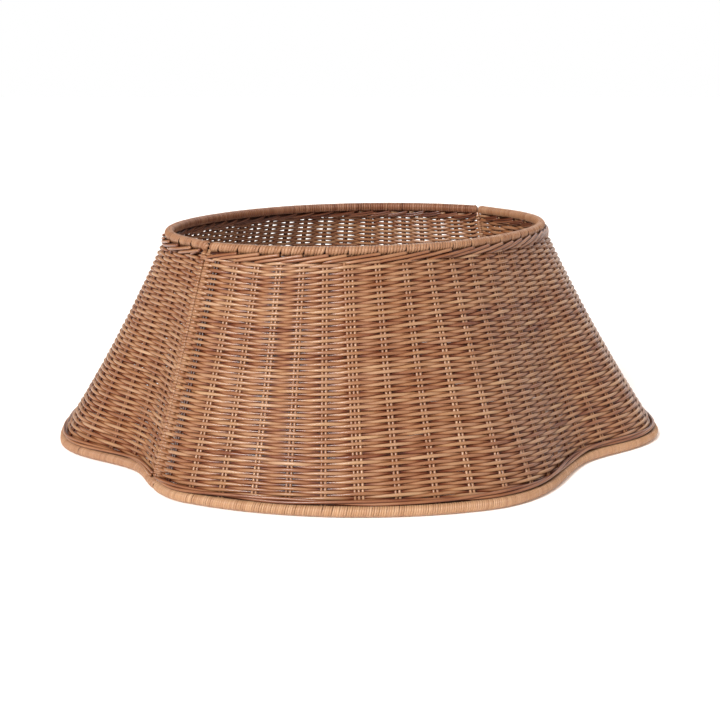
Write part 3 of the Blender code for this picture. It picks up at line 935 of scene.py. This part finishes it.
# Weavers: warm mid brown with fine darker fibres and a soft shine, painted lighter and
# straw-coloured on their crowns, and painted a deep red-brown shade where they go behind a stake.
weaver_rattan = rattan(
    "lacquered_rattan_core_woven",
    ("#391204", "#622C11", "#8B5D39", "#A17B55", "#B7956F"),
    ("#331206", "#5A2913", "#80543D", "#97705A", "#AB8771"),
    (9.0 * MM, 0.5 * MM), (0.36, 0.52), 0.32, 0.6,
)
# Stakes, poles and laid rods: the same brown with longer fibres, a shade duller.
rod_rattan = rattan(
    "lacquered_rattan_rod",
    ("#351203", "#5E2A0F", "#865735", "#9E744F", "#B9916B"),
    ("#2F1106", "#542612", "#794C36", "#916851", "#A9836B"),
    (14.0 * MM, 0.45 * MM), (0.36, 0.52), 0.28, 0.6,
)
# Flat cane of the bindings: lighter and yellower, nearly matt, with hair-fine lines along it.
binding_cane = rattan(
    "lacquered_cane_binding",
    ("#502812", "#784A2A", "#966C4A", "#AB835F", "#C09C78"),
    ("#48220F", "#6C402A", "#8A604A", "#9F7760", "#B48F78"),
    (12.0 * MM, 0.35 * MM), (0.42, 0.6), 0.12, 0.3,
)

canes = {
    "top": one_turn("wide_cane_turn", RIMS["top"]["section"], RIMS["top"]["pitch"]),
    "base": one_turn("narrow_cane_turn", RIMS["base"]["section"], RIMS["base"]["pitch"]),
}
weaver_turn = one_turn("weaver_turn", POST_TURN, 0.0)

for side, panel in PANELS.items():
    body = side + "_panel"
    seed = panel["seed"]
    turned = half_turned if side == "back" else (lambda strands: strands)
    woven = rows(panel)
    for band, low, high in (("lower", -1, 0.34), ("middle", 0.34, 0.67), ("upper", 0.67, 2)):
        strands = turned([part for part, share in woven if low <= share < high])
        node = f"{side}_woven_wall"
        make_piece(f"{side}_weavers_{band}", strands, weaver_rattan, body, [node])
    strands = turned(stakes(panel, seed + 1))
    make_piece(f"{side}_stakes", strands, rod_rattan, body)
    for end, rim in RIMS.items():
        back_top = (side, end) == ("back", "top")
        turns, core = bound_rim(rim, canes[end], back_top, seed + 2 + rim["share"])
        name = f"{side}_{end}_rim"
        make_piece(f"{name}_binding", turned(turns), binding_cane, body, [name])
        make_piece(f"{name}_pole", turned(core), rod_rattan, body)
    for end, rods in (("base", base_border(seed + 4)), ("top", top_border(seed + 5))):
        name = f"{side}_{end}_border"
        nodes = [f"{name}_rod_{n}" for n in (1, 2)]
        make_piece(name, turned(rods), rod_rattan, body, nodes)
    for post, at_end in (("first", False), ("last", True)):
        strands = turned(bound_post(at_end, weaver_turn, seed + 6 + at_end))
        name = f"{side}_{post}_post"
        make_piece(f"{name}_bound", strands, weaver_rattan, body, [name])

for end in ("base", "top"):
    lashing = tie(end == "top", 71)
    node = f"seam_tie_{end}"
    make_piece(f"seam_lashing_{end}", lashing, binding_cane, "front_panel", [node])

# ---- Studio ----

bpy.ops.object.select_all(action="DESELECT")
bpy.ops.mesh.primitive_plane_add(size=40, location=(0, 0, -0.0005))
floor = bpy.context.active_object
floor.name = "studio_floor"
floor.data.materials.append(lit_table())

world = bpy.data.worlds.new("white_studio")
world.use_nodes = True
room = world.node_tree
room.nodes.clear()
seen = add_node(room, "ShaderNodeLightPath").outputs["Is Camera Ray"]
fill = add_node(room, "ShaderNodeBackground", {"Color": linear("#FFE2CE"), "Strength": 0.25})
paper = add_node(room, "ShaderNodeBackground", {"Color": linear("#FFFFFF"), "Strength": 1.0})
both = add_node(room, "ShaderNodeMixShader", {0: seen, 1: fill.outputs[0], 2: paper.outputs[0]})
add_node(room, "ShaderNodeOutputWorld", {"Surface": both.outputs[0]})
bpy.context.scene.world = world


def lamp(name, place, strength, size, above, round_from_front):
    """A far lamp, as wide as size, at angles above the horizon and round from the front."""
    bpy.ops.object.light_add(type="SUN", location=place)
    light = bpy.context.active_object
    light.name = name
    light.data.energy = strength
    light.data.angle = math.radians(size)
    light.rotation_euler = (math.radians(90 - above), 0, math.radians(round_from_front))


lamp("key_light", (-2, -2, 3), 4.75, 24, 34, -30)
lamp("soft_card_on_the_right", (3, -1, 2), 0.55, 70, 30, 75)
lamp("soft_light_behind", (1, 3, 2), 1.4, 60, 40, 165)

camera_tilt = 0.2  # radians down
bpy.ops.object.camera_add(
    location=(0, -1.5552, 0.3909), rotation=(math.pi / 2 - camera_tilt, 0, 0)
)
camera = bpy.context.active_object
camera.data.lens = 71.2
camera.data.sensor_width = 36
bpy.context.scene.camera = camera
bpy.context.scene.view_settings.view_transform = "Standard"
